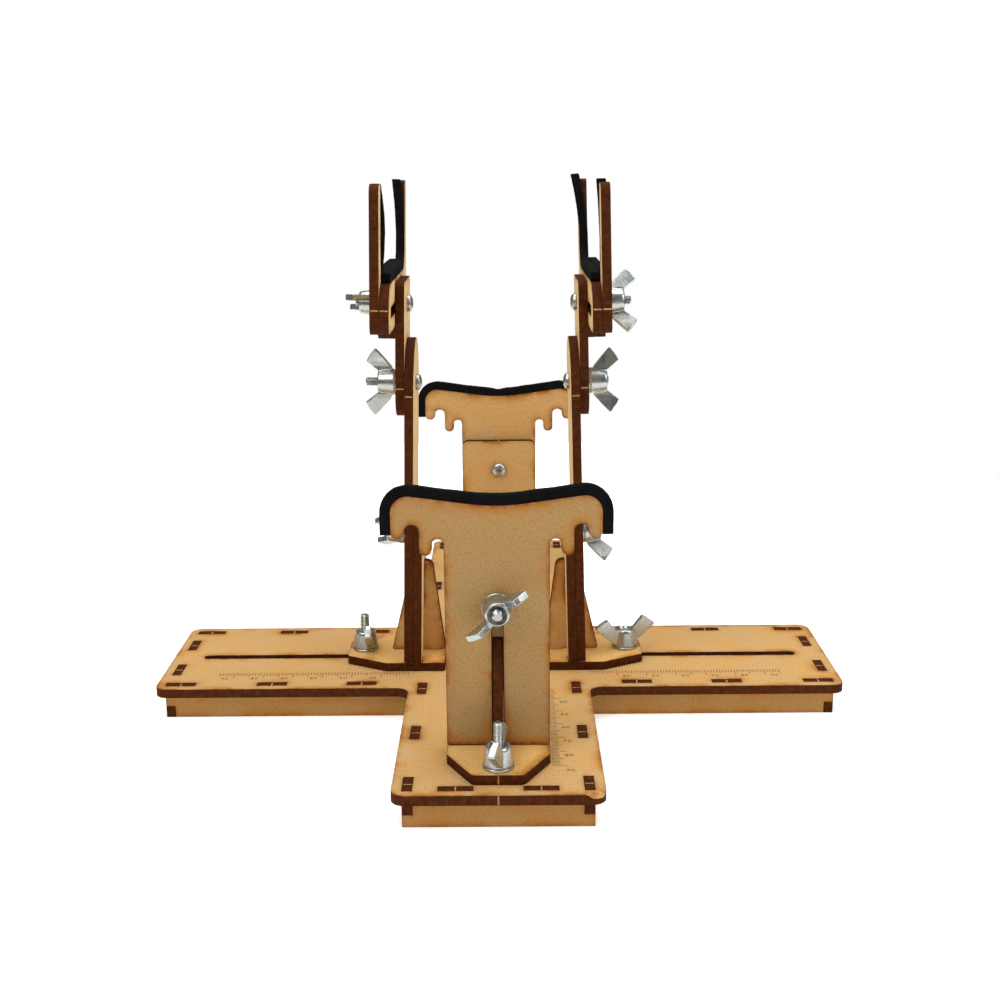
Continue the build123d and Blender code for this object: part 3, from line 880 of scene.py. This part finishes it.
def build_camera():
    level = Vector((math.sin(CAMERA_YAW), math.cos(CAMERA_YAW), 0))
    ahead = level * math.cos(CAMERA_PITCH) + UP * math.sin(CAMERA_PITCH)
    right = level.cross(UP)
    up = right.cross(ahead)
    turned_right = right * math.cos(CAMERA_ROLL) + up * math.sin(CAMERA_ROLL)
    turned_up = up * math.cos(CAMERA_ROLL) - right * math.sin(CAMERA_ROLL)
    data = bpy.data.cameras.new("camera")
    data.lens = CAMERA_LENS
    data.sensor_width = 36.0
    data.clip_start = 0.01
    camera = bpy.data.objects.new("camera", data)
    axes = Matrix((turned_right, turned_up, -ahead)).transposed().to_4x4()
    camera.matrix_world = Matrix.Translation(CAMERA_PLACE) @ axes
    bpy.context.scene.collection.objects.link(camera)
    bpy.context.scene.camera = camera


def softbox(name, place, size, power, aim=Vector((0, 0, 0.06))):
    data = bpy.data.lights.new(name, "AREA")
    data.shape = "RECTANGLE"
    data.size, data.size_y = size
    data.energy = power
    lamp = bpy.data.objects.new(name, data)
    lamp.location = place
    lamp.rotation_euler = (aim - Vector(place)).to_track_quat("-Z", "Y").to_euler()
    bpy.context.scene.collection.objects.link(lamp)


def build_world():
    """White paper all round for the eye, a dim room in reflections, a white horizon as light."""
    world = bpy.data.worlds.new("studio")
    bpy.context.scene.world = world
    world.use_nodes = True
    tree = world.node_tree
    link = tree.links.new
    ambient = tree.nodes["Background"]
    place = tree.nodes.new("ShaderNodeSeparateXYZ")
    link(tree.nodes.new("ShaderNodeTexCoord").outputs["Generated"], place.inputs[0])
    ramp = tree.nodes.new("ShaderNodeValToRGB")
    link(place.outputs["Z"], ramp.inputs["Fac"])
    ramp.color_ramp.elements[0].position = 0.05
    ramp.color_ramp.elements[0].color = (1.0, 1.0, 1.0, 1.0)
    ramp.color_ramp.elements[1].position = 0.24
    ramp.color_ramp.elements[1].color = (0.14, 0.14, 0.145, 1.0)
    link(ramp.outputs["Color"], ambient.inputs["Color"])
    ambient.inputs["Strength"].default_value = 1.25
    ray = tree.nodes.new("ShaderNodeLightPath")
    shown = ambient.outputs[0]
    for kind, brightness in (("Is Glossy Ray", 0.1), ("Is Camera Ray", 1.0)):
        plain = tree.nodes.new("ShaderNodeBackground")
        plain.inputs["Color"].default_value = (brightness, brightness, brightness, 1.0)
        mixed = tree.nodes.new("ShaderNodeMixShader")
        link(ray.outputs[kind], mixed.inputs["Fac"])
        link(shown, mixed.inputs[1])
        link(plain.outputs[0], mixed.inputs[2])
        shown = mixed.outputs[0]
    link(shown, tree.nodes["World Output"].inputs["Surface"])


def build_studio():
    bm = bmesh.new()
    bmesh.ops.create_circle(bm, cap_ends=True, segments=96, radius=FLOOR_RADIUS)
    n = Nodes("studio_floor")
    n.shader.inputs["Base Color"].default_value = (0.93, 0.93, 0.93, 1.0)
    n.shader.inputs["Roughness"].default_value = 0.9
    n.shader.inputs["Specular IOR Level"].default_value = 0.0
    n.shader.inputs["Emission Color"].default_value = (1.0, 1.0, 1.0, 1.0)
    n.shader.inputs["Emission Strength"].default_value = FLOOR_GLOW
    floor = finish_mesh(bm, "floor", (n.material,))
    floor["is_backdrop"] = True
    build_world()
    softbox("key_softbox", (-0.5, -0.55, 1.1), (0.9, 0.9), 12)
    softbox("top_softbox", (0.15, 0.25, 1.2), (1.2, 0.8), 13)
    softbox("fill_softbox", (0.9, -0.5, 0.7), (0.5, 0.9), 5.5)
    bpy.context.scene.view_settings.view_transform = "Standard"


build_camera()
build_studio()

visual_low, visual_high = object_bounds()
sizes = {"cad": (cad_low, cad_high), "visual": (visual_low, visual_high)}
{name: [list(corner) for corner in corners] for name, corners in sizes.items()}
